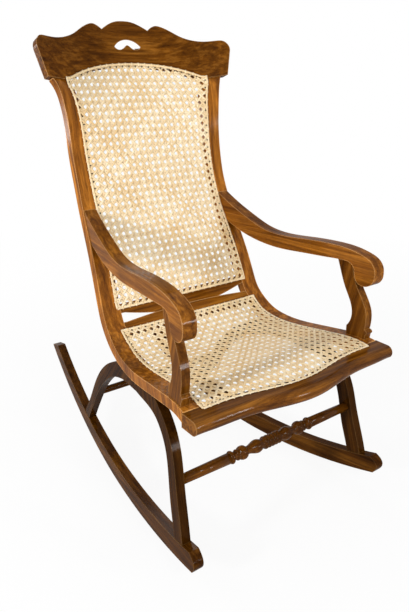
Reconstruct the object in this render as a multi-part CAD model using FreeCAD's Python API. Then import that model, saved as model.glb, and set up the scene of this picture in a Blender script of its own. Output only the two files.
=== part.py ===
import FreeCAD, Part
import math
import os

os.makedirs("parts", exist_ok=True)
Vec = FreeCAD.Vector

# Overall sizes of the chair in millimetres. The chair faces -Y and is mirrored across X = 0.
chair_width = 562.0
chair_depth = 944.0
chair_height = 1071.5
half_width = chair_width / 2

# Side posts: each runs from the crest down the back and forward along the seat in one sweep.
post_back_width = 42.0
post_seat_width = 47.0
post_thickness = 24.0
# Outer front edge of a post as shares of the half width, the depth and the height.
post_line_shares = (
    (0.8256, 0.1515, 0.9043),
    (0.8043, 0.1430, 0.8791),
    (0.7794, 0.1345, 0.8586),
    (0.7633, 0.1303, 0.8325),
    (0.7534, 0.1282, 0.8091),
    (0.7466, 0.1274, 0.7830),
    (0.7438, 0.1261, 0.7410),
    (0.7420, 0.1208, 0.7046),
    (0.7402, 0.1107, 0.6645),
    (0.7456, 0.0953, 0.6244),
    (0.7544, 0.0731, 0.5824),
    (0.7669, 0.0477, 0.5404),
    (0.7811, 0.0244, 0.5002),
    (0.7936, 0.0042, 0.4610),
    (0.8043, -0.0169, 0.4162),
    (0.8096, -0.0328, 0.3910),
    (0.8185, -0.0551, 0.3724),
    (0.8292, -0.0879, 0.3546),
    (0.8470, -0.1356, 0.3444),
    (0.8665, -0.1886, 0.3434),
    (0.8879, -0.2553, 0.3500),
    (0.9181, -0.3432, 0.3602),
    (0.9324, -0.3845, 0.3630),
    (0.9448, -0.4174, 0.3602),
    (0.9502, -0.4407, 0.3556),
    (0.9555, -0.4661, 0.3490),
)
post_section_count = 37
post_end_share = -0.4428
bisection_count = 60
# Above this share of the height the back begins to bow rearwards towards the crest.
bow_start_share = 0.6104

# Crest rail: a bowed and leaned plank shaped along its top, with a handhold slot.
crest_foot_y_share = 0.1430
crest_foot_z_share = 0.8866
crest_height = 148.0
crest_lean = 18.0
crest_bow = 62.0
crest_thickness = 24.0
crest_half_share = 0.8719
# Outlines of the crest as shares of the half width and of the crest height.
crest_side_shares = (
    (0.9217, 0.3919), (0.9146, 0.5000), (0.8790, 0.5743), (0.8221, 0.5946), (0.7117, 0.6081),
    (0.6050, 0.6554), (0.5160, 0.7297), (0.4270, 0.8378), (0.3559, 0.9054), (0.3060, 0.9257),
    (0.2598, 0.8986), (0.2242, 0.8514),
)
crest_centre_shares = (
    (0.2242, 0.8514), (0.1601, 0.9257), (0.0783, 0.9865), (0.0000, 1.0000),
)
crest_arch_shares = (
    (0.6762, 0.0000), (0.6050, 0.0541), (0.4128, 0.1959), (0.2135, 0.2703), (0.0000, 0.2973),
)
slot_top_shares = (
    (0.1281, 0.5878), (0.0712, 0.6700), (0.0000, 0.7000),
)
slot_bottom_shares = (
    (0.1281, 0.5878), (0.0819, 0.5405), (0.0391, 0.5676), (0.0000, 0.6149),
)
# The handhold is eased from behind: wider and higher there than at the front face.
slot_ease_width = 20.0
slot_ease_rise = 12.0

# Cross rails of the back and the seat.
rail_thickness = 20.0
rail_setback = 1.0
slab_step_count = 15
back_rail_top_share = 0.4255
back_rail_end_share = 0.4064
back_rail_middle_share = 0.3868
seat_rail_front_share = -0.0583
seat_rail_end_share = -0.0331
seat_rail_middle_share = -0.0279
belly_half_share = 0.6137
front_rail_depth = 48.0
front_rail_height = 30.0
front_rail_top_share = 0.3593
front_rail_round = 14.0
# Front edge of the front rail in plan as shares of the half width and of the depth.
front_rail_line_shares = (
    (0.9573, -0.4703), (0.8185, -0.4714), (0.6762, -0.4725), (0.4982, -0.4756), (0.3737, -0.4820),
    (0.1957, -0.4936), (0.0000, -0.5000),
)

# Cane panels: thin sheets held in the frame just under its face, open in a plain grid of holes.
cane_thickness = 2.0
cane_setback = 3.0
cane_edge_run = 10.0
cane_clearance = 0.4
arch_sample_count = 160
cane_column_count = 13
cane_row_count = 19
back_hole_columns = 9
back_hole_rows = 14
seat_hole_columns = 10
seat_hole_rows = 9
cane_hole_share = 0.55

# Rockers: splayed boards with a two-radius sole that is level where the chair rests.
rocker_thickness = 24.0
rocker_depth = 42.0
rocker_front_half_share = 1.0
rocker_rear_half_share = 0.5898
rocker_front_share = -0.4799
rocker_rest_share = -0.0752
rocker_front_radius = 1330.0
rocker_rear_radius = 960.0
rocker_nose_round = 14.0
rocker_heel_cut = 30.0
arc_step_count = 9

# Legs: boards that meet under the post and form an arch.
leg_thickness = 21.0
leg_inset = 1.5
leg_lean = 0.045
leg_foot_share = 0.0877
front_leg_front_shares = (
    (-0.2585, 0.3285), (-0.2881, 0.3164), (-0.3178, 0.3005), (-0.3485, 0.2744), (-0.3708, 0.2371),
    (-0.3856, 0.1876), (-0.4015, 0.1381), (-0.4174, 0.0896), (-0.4248, 0.0579),
)
front_leg_rear_shares = (
    (-0.3867, 0.0579), (-0.3782, 0.0896), (-0.3612, 0.1419), (-0.3475, 0.2035), (-0.3316, 0.2445),
    (-0.3072, 0.2706), (-0.2797, 0.2856), (-0.2415, 0.2921), (-0.1780, 0.2940),
)
rear_leg_inner_shares = (
    (-0.1780, 0.2940), (-0.1250, 0.2902), (-0.0943, 0.2865), (-0.0689, 0.2800), (-0.0212, 0.2622),
    (0.0180, 0.2380), (0.0604, 0.2025), (0.1123, 0.1428), (0.1653, 0.0728), (0.1780, 0.0541),
)
rear_leg_outer_shares = (
    (0.2140, 0.0541), (0.1896, 0.0877), (0.1525, 0.1316), (0.1112, 0.1885), (0.0604, 0.2445),
    (0.0074, 0.2828), (-0.0371, 0.3052), (-0.0773, 0.3201), (-0.1186, 0.3304),
)
leg_joint_top_share = 0.3304

# Arms and their supports.
arm_thickness = 31.0
arm_rear_y_share = 0.0890
arm_rear_half_share = 0.7424
arm_splay = 0.1188
arm_top_shares = (
    (0.1017, 0.6225), (0.0381, 0.5926), (-0.0222, 0.5702), (-0.0784, 0.5534), (-0.1451, 0.5478),
    (-0.2235, 0.5525), (-0.2934, 0.5556), (-0.3485, 0.5535), (-0.3845, 0.5470), (-0.4078, 0.5380),
    (-0.4206, 0.5235), (-0.4230, 0.5095), (-0.4206, 0.4965), (-0.4095, 0.4853), (-0.3930, 0.4816),
    (-0.3782, 0.4860), (-0.3697, 0.4993), (-0.3665, 0.5133),
)
arm_bottom_shares = (
    (-0.3665, 0.5133), (-0.3549, 0.5245), (-0.3347, 0.5270), (-0.2903, 0.5245), (-0.2203, 0.5205),
    (-0.1419, 0.5165), (-0.0572, 0.5222), (0.0159, 0.5388), (0.0636, 0.5572), (0.0890, 0.5693),
)
support_thickness = 20.0
support_half_share = 0.9217
support_y_share = -0.4004
support_z_share = 0.4237
support_splay = 0.118
support_lean = 0.04
support_rear_shares = (
    (-0.3114, 0.5413), (-0.3215, 0.5217), (-0.3335, 0.4909), (-0.3455, 0.4657), (-0.3560, 0.4480),
    (-0.3645, 0.4293), (-0.3665, 0.4088), (-0.3620, 0.3938), (-0.3538, 0.3826),
)
support_front_shares = (
    (-0.4040, 0.3845), (-0.4070, 0.4078), (-0.4040, 0.4284), (-0.3955, 0.4461), (-0.3840, 0.4638),
    (-0.3729, 0.4816), (-0.3633, 0.5077), (-0.3581, 0.5413),
)
support_top_y_share = -0.3432
support_top_z_share = 0.5282
support_foot_y_share = -0.3835
support_base_share = 0.3518
toe_reach = 7.0
toe_height = 12.0

# Stretchers.
front_stretcher_y_share = -0.3686
front_stretcher_z_share = 0.1839
rear_stretcher_y_share = 0.1186
rear_stretcher_z_share = 0.1605
rear_stretcher_radius = 9.0
tenon_radius = 6.5
tenon_length = 13.0
shaft_end_radius = 10.5
shaft_radius = 12.0
bead_radius = 14.5
cove_radius = 9.5
small_bead_radius = 12.0
ball_radius = 15.5
neck_radius = 9.0
vase_radius = 15.0
ring_radius = 14.5
# Stations of the turning from the middle outwards as shares of the half width.
turning_shares = (0.0, 0.018, 0.036, 0.052, 0.068, 0.082, 0.150, 0.240, 0.262, 0.293, 0.326, 0.345, 0.365,
                  0.385, 0.402, 0.416, 0.436, 0.455)

# Wooden pins and screws with their bores.
pin_radius = 4.0
pin_length = 36.0
pin_clearance = 0.1
screw_radius = 2.5
screw_length = 34.0
cut_overrun = 6.0
# Places of the pins across a joint, up the post, in the feet and along the seat side.
pin_place_shares = (0.3, 0.7)
rail_pin_share = 0.66
arm_pin_shares = (0.5749, 0.5964)
foot_pin_shares = (((-0.4004, 0.1017), (-0.4078, 0.0523)),
                   ((0.1568, 0.1083), (0.1907, 0.0672)))
leg_screw_shares = (-0.1314, -0.1589, -0.2034, -0.2373)


def place(x_share, y_share, z_share):
    return Vec(x_share * half_width, y_share * chair_depth, z_share * chair_height)


def smooth(points):
    if len(points) == 2:
        return Part.makeLine(points[0], points[1])
    curve = Part.BSplineCurve()
    curve.interpolate(points)
    return curve.toShape()


def largest(shape):
    return max(shape.Solids, key=lambda solid: solid.Volume)


def mirrored(shape):
    return shape.mirror(Vec(0, 0, 0), Vec(1, 0, 0))


def closed_face(runs):
    edges = [smooth(run) for run in runs]
    return Part.Face(Part.Wire(edges))


def pin(start, end, radius):
    return Part.makeCylinder(radius, (end - start).Length, start, end - start)


def bored(shape, pins, radius):
    for start, end in pins:
        shape = shape.cut(pin(start, end, radius + pin_clearance))
    return largest(shape)


# The sweep of the posts, with the direction through their thickness.
post_curve = Part.BSplineCurve()
post_curve.interpolate([place(x, y, z) for x, y, z in post_line_shares])
sweep_first = post_curve.FirstParameter
sweep_last = post_curve.LastParameter


def sweep_point(parameter):
    return post_curve.value(parameter)


def sweep_normal(parameter):
    along = post_curve.tangent(parameter)[0]
    across = Vec(0, -along.z, along.y)
    return across.normalize()


def sweep_where(passed, low, high):
    for step in range(bisection_count):
        middle = (low + high) / 2
        if passed(sweep_point(middle)):
            low = middle
        else:
            high = middle
    return (low + high) / 2


# The sweep falls from the crest to the dip of the seat and comes forward all the way.
dip_samples = []
for number in range(bisection_count + 1):
    dip_samples.append(sweep_first + (sweep_last - sweep_first) * number / bisection_count)
sweep_dip = min(dip_samples, key=lambda parameter: sweep_point(parameter).z)


def sweep_at_height(height):
    return sweep_where(lambda point: point.z > height, sweep_first, sweep_dip)


def sweep_at_depth(depth):
    return sweep_where(lambda point: point.y > depth, sweep_first, sweep_last)


def post_width(parameter):
    travel = (parameter - sweep_first) / (sweep_last - sweep_first)
    return post_back_width + (post_seat_width - post_back_width) * travel


crest_foot = Vec(0, crest_foot_y_share * chair_depth, crest_foot_z_share * chair_height)
lean_angle = math.radians(crest_lean)
crest_up = Vec(0, math.sin(lean_angle), math.cos(lean_angle))
crest_back = Vec(0, math.cos(lean_angle), -math.sin(lean_angle))
crest_half = crest_half_share * half_width
bow_start = bow_start_share * chair_height
bow_radius = (crest_half ** 2 + crest_bow ** 2) / (2 * crest_bow)


# The crest is bent to one radius, and the back below it is bent less and less.
def full_bow(x):
    return crest_bow - bow_radius + math.sqrt(bow_radius ** 2 - x ** 2)


def bow_at(x, height):
    rise = (height - bow_start) / (crest_foot.z - bow_start)
    rise = min(max(rise, 0), 1)
    return full_bow(x) * rise ** 2


# Left post.
def post_section(parameter):
    edge = sweep_point(parameter)
    through = sweep_normal(parameter)
    inner_x = edge.x - post_width(parameter)
    outer_front = edge + through * bow_at(edge.x, edge.z)
    inner_front = Vec(inner_x, edge.y, edge.z) + through * bow_at(inner_x, edge.z)
    back = through * post_thickness
    return Part.makePolygon([outer_front, inner_front, inner_front + back, outer_front + back, outer_front])


post_last = sweep_at_depth(post_end_share * chair_depth)
sections = []
for number in range(post_section_count):
    travel = number / (post_section_count - 1)
    sections.append(post_section(sweep_first + (post_last - sweep_first) * travel))
left_post = Part.makeLoft(sections, True, False)

# Crest rail: its front outline taken through a bowed plank.
def crest_point(x_share, h_share, into):
    return crest_foot + Vec(x_share * half_width, 0, 0) + crest_up * (h_share * crest_height) + crest_back * into


def crest_run(shares, side, into):
    return [crest_point(side * x, h, into) for x, h in shares]


def both_sides(shares, into):
    first = crest_run(shares, 1, into)
    second = crest_run(shares, -1, into)
    second.reverse()
    return first + second[1:]


front_of_crest = -crest_thickness
through_crest = crest_back * (crest_bow + crest_thickness * 3)
side_run = crest_run(crest_side_shares, 1, front_of_crest)
other_run = crest_run(crest_side_shares, -1, front_of_crest)
other_run.reverse()
arch_run = both_sides(crest_arch_shares, front_of_crest)
centre_run = both_sides(crest_centre_shares, front_of_crest)
low_corner = crest_point(crest_half_share, 0, front_of_crest)
low_other = crest_point(-crest_half_share, 0, front_of_crest)
outline = closed_face([
    [arch_run[-1], low_other],
    [low_other, other_run[-1]],
    other_run[::-1],
    centre_run[::-1],
    side_run[::-1],
    [side_run[0], low_corner],
    [low_corner, arch_run[0]],
    arch_run,
])
crest_outline = outline.extrude(through_crest)


def bow_arc(into):
    reach = half_width
    end_depth = full_bow(reach) + into
    ends = [crest_foot + Vec(side * reach, 0, 0) + crest_back * end_depth for side in (1, -1)]
    middle = crest_foot + crest_back * (crest_bow + into)
    return Part.Arc(ends[0], middle, ends[1]).toShape(), ends


front_arc, front_ends = bow_arc(0)
rear_arc, rear_ends = bow_arc(crest_thickness)
plank = Part.Face(Part.Wire([
    front_arc,
    Part.makeLine(front_ends[1], rear_ends[1]),
    rear_arc,
    Part.makeLine(rear_ends[0], front_ends[0]),
]))
plank.translate(crest_up * -cut_overrun)
plank = plank.extrude(crest_up * (crest_height + cut_overrun * 2))
crest_rail = crest_outline.common(plank)
slot_top = both_sides(slot_top_shares, front_of_crest)
slot_bottom = both_sides(slot_bottom_shares, front_of_crest)
slot = closed_face([slot_top, slot_bottom[::-1]]).extrude(through_crest)
slot_half = slot_top_shares[0][0] * half_width


def eased(points):
    return [point + Vec(slot_ease_width * point.x / slot_half, 0, 0) + crest_up * slot_ease_rise for point in points]


slot_front = closed_face([slot_top, slot_bottom[::-1]])
slot_rear = closed_face([eased(slot_top), eased(slot_bottom)[::-1]])
slot_front.translate(crest_back * (crest_thickness + crest_bow))
slot_rear.translate(crest_back * (crest_thickness * 2 + crest_bow))
ease = Part.makeLoft([slot_front.OuterWire, slot_rear.OuterWire], True, True)
crest_rail = largest(crest_rail.cut(slot).cut(ease))

# Posts end on the underside of the crest.
above_points = []
for into, rise in ((-chair_depth, 0), (chair_depth, 0), (chair_depth, crest_height), (-chair_depth, crest_height)):
    above_points.append(crest_foot + crest_back * into + crest_up * rise)
above = Part.Face(Part.makePolygon(above_points + above_points[:1]))
above.translate(Vec(-half_width, 0, 0))
above = above.extrude(Vec(chair_width, 0, 0))
left_post = largest(left_post.cut(above))

# Front seat rail: a bullnosed section carried along a serpentine line.
front_rail_top = front_rail_top_share * chair_height
front_rail_low = front_rail_top - front_rail_height


def front_section(x, front):
    rear = front + front_rail_depth
    rounding = front + front_rail_round
    middle = (front_rail_top + front_rail_low) / 2
    low_rear = Vec(x, rear, front_rail_low)
    top_rear = Vec(x, rear, front_rail_top)
    top_front = Vec(x, rounding, front_rail_top)
    nose = Vec(x, front, middle)
    low_front = Vec(x, rounding, front_rail_low)
    return Part.Wire([
        Part.makeLine(low_rear, top_rear),
        Part.makeLine(top_rear, top_front),
        Part.Arc(top_front, nose, low_front).toShape(),
        Part.makeLine(low_front, low_rear),
    ])


front_line = [(x * half_width, y * chair_depth) for x, y in front_rail_line_shares]
front_line = front_line + [(-x, y) for x, y in front_line[-2::-1]]
seat_front_rail = Part.makeLoft([front_section(x, y) for x, y in front_line], True, False)
left_post = largest(left_post.cut(seat_front_rail))
right_post = mirrored(left_post)

# Slabs that follow the sweep between two places, used for the cross rails and the seat cane.
def slab(first, last, near, far):
    front, rear = [], []
    for number in range(slab_step_count):
        parameter = first + (last - first) * number / (slab_step_count - 1)
        point = sweep_point(parameter)
        point = Vec(-half_width, point.y, point.z)
        front.append(point + sweep_normal(parameter) * near)
        rear.append(point + sweep_normal(parameter) * far)
    rear.reverse()
    face = closed_face([front, [front[-1], rear[0]], rear, [rear[-1], front[0]]])
    return face.extrude(Vec(chair_width, 0, 0))


# Back lower rail, bellied along its lower edge.
back_rail_top = back_rail_top_share * chair_height
back_rail_end = back_rail_end_share * chair_height
back_rail_middle = back_rail_middle_share * chair_height
rail_far = rail_setback + rail_thickness
belly_reach = chair_depth / 2
belly_half = belly_half_share * half_width
left_end = Vec(half_width, -belly_reach, back_rail_end)
right_end = Vec(-half_width, -belly_reach, back_rail_end)
left_turn = Vec(belly_half, -belly_reach, back_rail_end)
right_turn = Vec(-belly_half, -belly_reach, back_rail_end)
left_top = Vec(half_width, -belly_reach, chair_height)
right_top = Vec(-half_width, -belly_reach, chair_height)
belly = Part.Face(Part.Wire([
    Part.makeLine(right_end, right_turn),
    Part.Arc(right_turn, Vec(0, -belly_reach, back_rail_middle), left_turn).toShape(),
    Part.makeLine(left_turn, left_end),
    Part.makeLine(left_end, left_top),
    Part.makeLine(left_top, right_top),
    Part.makeLine(right_top, right_end),
])).extrude(Vec(0, chair_depth, 0))
rail_start = sweep_at_height(back_rail_top)
rail_stop = sweep_at_height(back_rail_middle - rail_thickness)
back_rail = slab(rail_start, rail_stop, rail_setback, rail_far).common(belly)
back_rail = largest(back_rail.cut(left_post).cut(right_post))

# Seat back rail, bellied along its rear edge, which the back rail meets in the middle.
seat_rail_front = seat_rail_front_share * chair_depth
seat_rail_end = seat_rail_end_share * chair_depth
seat_rail_middle = seat_rail_middle_share * chair_depth
left_end = Vec(half_width, seat_rail_end, 0)
right_end = Vec(-half_width, seat_rail_end, 0)
left_turn = Vec(belly_half, seat_rail_end, 0)
right_turn = Vec(-belly_half, seat_rail_end, 0)
left_front = Vec(half_width, -belly_reach, 0)
right_front = Vec(-half_width, -belly_reach, 0)
belly = Part.Face(Part.Wire([
    Part.makeLine(right_end, right_turn),
    Part.Arc(right_turn, Vec(0, seat_rail_middle, 0), left_turn).toShape(),
    Part.makeLine(left_turn, left_end),
    Part.makeLine(left_end, left_front),
    Part.makeLine(left_front, right_front),
    Part.makeLine(right_front, right_end),
])).extrude(Vec(0, 0, chair_height))
rail_start = sweep_at_depth(seat_rail_middle + rail_setback)
rail_stop = sweep_at_depth(seat_rail_front)
seat_back_rail = slab(rail_start, rail_stop, rail_setback, rail_far).common(belly)
seat_back_rail = largest(seat_back_rail.cut(left_post).cut(right_post))
back_rail = largest(back_rail.cut(seat_back_rail))

# Holes of the cane: cells spread over an opening from its half width and its ends.
def hole_cells(column_count, row_count, half_at, ends_at):
    cells = []
    for column in range(column_count):
        across = (2 * column + 1) / column_count - 1
        first, last = ends_at(across)
        for row in range(row_count):
            level = first + (last - first) * (2 * row + 1) / (2 * row_count)
            half = half_at(level)
            width = 2 * half / column_count * cane_hole_share
            length = (last - first) / row_count * cane_hole_share
            cells.append((across * half, level, width, length))
    return cells


def opening_half(parameter):
    return sweep_point(parameter).x - post_width(parameter)


# Seat cane: a dished sheet between the posts and the two seat rails.
cane_far = cane_setback + cane_thickness
cane_start = sweep_at_depth(seat_rail_front + cane_edge_run)
rail_rear_middle = min(y for x, y in front_line) + front_rail_depth
cane_stop = sweep_at_depth(rail_rear_middle - cane_edge_run)
seat_cane = slab(cane_start, cane_stop, cane_setback, cane_far)
for frame_piece in (left_post, right_post, seat_back_rail, seat_front_rail):
    seat_cane = seat_cane.cut(frame_piece)


def seat_half(y):
    return opening_half(sweep_at_depth(y))


def seat_ends(across):
    x = abs(across) * front_line[0][0]
    for (x_far, y_far), (x_near, y_near) in zip(front_line[:-1], front_line[1:]):
        if x_near <= x <= x_far:
            front = y_far + (y_near - y_far) * (x_far - x) / (x_far - x_near)
            return front + front_rail_depth, seat_rail_front


holes = []
for x, y, width, length in hole_cells(seat_hole_columns, seat_hole_rows, seat_half, seat_ends):
    holes.append(Part.makeBox(width, length, chair_height, Vec(x - width / 2, y - length / 2, 0)))
seat_cane = largest(seat_cane.cut(Part.makeCompound(holes)))

# Back cane: a sheet that is flat at the waist and bows back to meet the crest.
arch_curve = Part.BSplineCurve()
arch_curve.interpolate(arch_run)
arch_heights = []
for point in arch_curve.discretize(arch_sample_count):
    arch_heights.append((point.x, (point - crest_foot).dot(crest_up)))


def arch_height(x):
    for (x_far, h_far), (x_near, h_near) in zip(arch_heights[:-1], arch_heights[1:]):
        if x_near <= x <= x_far:
            return h_far + (h_near - h_far) * (x_far - x) / (x_far - x_near)
    return 0


foot_parameter = sweep_at_height(crest_foot.z)
cane_low = back_rail_top + cane_clearance


def cane_point(across, up_share):
    foot_height = crest_foot.z
    foot_half = opening_half(foot_parameter) - cane_clearance
    over = arch_height(across * foot_half) - cane_clearance
    length = foot_height - cane_low
    height = cane_low + (length + over) * up_share
    parameter = sweep_at_height(min(height, foot_height))
    edge = sweep_point(parameter)
    x = across * (opening_half(parameter) - cane_clearance)
    through = sweep_normal(parameter)
    point = Vec(x, edge.y, edge.z)
    if height > foot_height:
        point = crest_foot + Vec(x, 0, 0) + crest_up * (height - foot_height)
        through = crest_back
    return point + through * (bow_at(x, height) + cane_setback)


grid = []
for column in range(cane_column_count):
    across = 2 * column / (cane_column_count - 1) - 1
    grid.append([cane_point(across, row / (cane_row_count - 1)) for row in range(cane_row_count)])
cane_surface = Part.BSplineSurface()
cane_surface.interpolate(grid)
back_cane = Part.Face(cane_surface).extrude(crest_back * cane_thickness)


def back_half(height):
    return opening_half(sweep_at_height(min(height, crest_foot.z)))


def back_ends(across):
    rise = arch_height(across * back_half(crest_foot.z)) * math.cos(lean_angle)
    return back_rail_top, crest_foot.z + rise


holes = []
for x, z, width, length in hole_cells(back_hole_columns, back_hole_rows, back_half, back_ends):
    holes.append(Part.makeBox(width, chair_depth, length, Vec(x - width / 2, -belly_reach, z - length / 2)))
back_cane = largest(back_cane.cut(Part.makeCompound(holes)))

# Rockers.
rocker_front_half = rocker_front_half_share * half_width
rocker_rear_half = rocker_rear_half_share * half_width
front_end = rocker_front_share * chair_depth
rear_end = chair_depth / 2
rocker_splay = (rocker_front_half - rocker_rear_half) / (rear_end - front_end)
rest_y = rocker_rest_share * chair_depth


def rocker_outer(y):
    return rocker_front_half - rocker_splay * (y - front_end)


def sole_angle(y, radius):
    return math.asin((y - rest_y) / radius)


def sole_point(y, radius, lift):
    angle = sole_angle(y, radius)
    return Vec(0, rest_y + (radius - lift) * math.sin(angle), radius - (radius - lift) * math.cos(angle))


def on_rocker(point):
    return Vec(rocker_outer(point.y), point.y, point.z)


arc_steps = [number / (arc_step_count - 1) for number in range(arc_step_count)]
front_ys = [rest_y + (front_end + rocker_nose_round - rest_y) * step for step in arc_steps]
rear_ys = [rest_y + (rear_end - rest_y) * step for step in arc_steps]
heel_ys = [rest_y + (rear_end - rocker_heel_cut - rest_y) * step for step in arc_steps]
sole_rear = [on_rocker(sole_point(y, rocker_rear_radius, 0)) for y in rear_ys]
sole_front = [on_rocker(sole_point(y, rocker_front_radius, 0)) for y in front_ys]
top_rear = [on_rocker(sole_point(y, rocker_rear_radius, rocker_depth)) for y in heel_ys]
top_front = [on_rocker(sole_point(y, rocker_front_radius, rocker_depth)) for y in front_ys]
heel_low, heel_high = sole_rear[-1], top_rear[-1]
toe_low, toe_high = sole_front[-1], top_front[-1]
nose_tip = (toe_low + toe_high) / 2
nose_tip = on_rocker(Vec(0, nose_tip.y - rocker_nose_round, nose_tip.z))
rocker_face = Part.Face(Part.Wire([
    smooth(sole_front[::-1] + sole_rear[1:]),
    Part.makeLine(heel_low, heel_high),
    smooth(top_rear[::-1] + top_front[1:]),
    smooth([toe_high, nose_tip, toe_low]),
]))
left_rocker = rocker_face.extrude(Vec(-rocker_thickness, 0, 0))

# Legs.
foot_height = leg_foot_share * chair_height


def leg_outer(y, z):
    return rocker_outer(y) - leg_inset - leg_lean * (z - foot_height)


def on_leg(shares):
    points = [place(0, y, z) for y, z in shares]
    return [Vec(leg_outer(p.y, p.z), p.y, p.z) for p in points]


front_edge = on_leg(front_leg_front_shares)
rear_edge = on_leg(front_leg_rear_shares)
joint_share = front_leg_rear_shares[-1][0]
joint_top = on_leg([(joint_share, leg_joint_top_share)])[0]
left_front_leg = closed_face([
    front_edge,
    [front_edge[-1], rear_edge[0]],
    rear_edge,
    [rear_edge[-1], joint_top],
    [joint_top, front_edge[0]],
]).extrude(Vec(-leg_thickness, 0, 0))
inner_edge = on_leg(rear_leg_inner_shares)
outer_edge = on_leg(rear_leg_outer_shares)
left_rear_leg = closed_face([
    inner_edge,
    [inner_edge[-1], outer_edge[0]],
    outer_edge,
    [outer_edge[-1], joint_top],
    [joint_top, inner_edge[0]],
]).extrude(Vec(-leg_thickness, 0, 0))
left_front_leg = largest(left_front_leg.cut(left_post).cut(left_rocker))
left_rear_leg = largest(left_rear_leg.cut(left_post).cut(left_rocker))

# Arms.
arm_rear_y = arm_rear_y_share * chair_depth
arm_rear_half = arm_rear_half_share * half_width


def arm_outer(y):
    return arm_rear_half + arm_splay * (arm_rear_y - y)


def on_arm(shares):
    points = [place(0, y, z) for y, z in shares]
    return [Vec(arm_outer(p.y), p.y, p.z) for p in points]


arm_top = on_arm(arm_top_shares)
arm_bottom = on_arm(arm_bottom_shares)
left_arm = closed_face([arm_top, arm_bottom, [arm_bottom[-1], arm_top[0]]]).extrude(Vec(-arm_thickness, 0, 0))
left_arm = largest(left_arm.cut(left_post))

# Arm supports.
support_half = support_half_share * half_width
support_y = support_y_share * chair_depth
support_z = support_z_share * chair_height


def on_support(points):
    placed = []
    for p in points:
        x = support_half - support_splay * (p.y - support_y) - support_lean * (p.z - support_z)
        placed.append(Vec(x, p.y, p.z))
    return placed


support_rear = on_support([place(0, y, z) for y, z in support_rear_shares])
support_front = on_support([place(0, y, z) for y, z in support_front_shares])
support_base = support_base_share * chair_height
heel_y = support_rear_shares[-1][0] * chair_depth
toe_y = support_front_shares[0][0] * chair_depth
toe_top = support_front_shares[0][1] * chair_height
toe_points = on_support([
    Vec(0, toe_y, toe_top),
    Vec(0, toe_y - toe_reach, toe_top - toe_height / 2),
    Vec(0, toe_y - toe_reach / 2, toe_top - toe_height),
])
base_points = on_support([Vec(0, toe_y, support_base), Vec(0, heel_y, support_base)])
left_arm_support = closed_face([
    support_rear,
    [support_rear[-1], base_points[1]],
    [base_points[1], base_points[0]],
    [base_points[0], toe_points[2]],
    toe_points[::-1],
    support_front,
    [support_front[-1], support_rear[0]],
]).extrude(Vec(-support_thickness, 0, 0))
left_arm_support = largest(left_arm_support.cut(left_post).cut(left_arm))

# Front stretcher: one turning about its own axis, with a tenon at each end.
stretcher_y = front_stretcher_y_share * chair_depth
stretcher_z = front_stretcher_z_share * chair_height
turning_radii = (ring_radius, neck_radius, ring_radius, neck_radius, ring_radius, cove_radius, vase_radius,
                 neck_radius, neck_radius, ball_radius, neck_radius, small_bead_radius, cove_radius, cove_radius,
                 bead_radius, cove_radius, shaft_radius, shaft_radius)
shaft_end = leg_outer(stretcher_y, stretcher_z) - leg_thickness / 2
profile = [Vec(share * half_width, stretcher_y, stretcher_z + radius)
           for share, radius in zip(turning_shares, turning_radii)]
profile.append(Vec(shaft_end, stretcher_y, stretcher_z + shaft_end_radius))
half_turning = Part.Face(Part.Wire([
    Part.makePolygon([Vec(shaft_end, stretcher_y, stretcher_z), Vec(0, stretcher_y, stretcher_z)] + profile
                     + [Vec(shaft_end, stretcher_y, stretcher_z)]),
]))
axis_point = Vec(0, stretcher_y, stretcher_z)
half_turning = half_turning.revolve(axis_point, Vec(1, 0, 0), 360)
right_front_leg = mirrored(left_front_leg)
front_stretcher = half_turning.fuse(mirrored(half_turning)).cut(left_front_leg).cut(right_front_leg)
tenon_reach = leg_outer(stretcher_y, stretcher_z) - leg_thickness + tenon_length
front_tenon = (Vec(-tenon_reach, stretcher_y, stretcher_z), Vec(tenon_reach, stretcher_y, stretcher_z))
front_stretcher = largest(front_stretcher).fuse(pin(front_tenon[0], front_tenon[1], tenon_radius)).removeSplitter()
left_front_leg = bored(left_front_leg, [front_tenon], tenon_radius)

# Rear stretcher: a plain round bar with a tenon at each end.
bar_y = rear_stretcher_y_share * chair_depth
bar_z = rear_stretcher_z_share * chair_height
bar_end = leg_outer(bar_y, bar_z) - leg_thickness / 2
right_rear_leg = mirrored(left_rear_leg)
rear_stretcher = pin(Vec(-bar_end, bar_y, bar_z), Vec(bar_end, bar_y, bar_z), rear_stretcher_radius)
rear_stretcher = largest(rear_stretcher.cut(left_rear_leg).cut(right_rear_leg))
bar_reach = leg_outer(bar_y, bar_z) - leg_thickness + tenon_length
bar_tenon = (Vec(-bar_reach, bar_y, bar_z), Vec(bar_reach, bar_y, bar_z))
rear_stretcher = rear_stretcher.fuse(pin(bar_tenon[0], bar_tenon[1], tenon_radius)).removeSplitter()
left_rear_leg = bored(left_rear_leg, [bar_tenon], tenon_radius)

# Pins and screws of the left half, each as a start and an end.
def pin_along(middle, direction, length):
    step = direction.normalize() * (length / 2)
    return (middle - step, middle + step)


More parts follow.
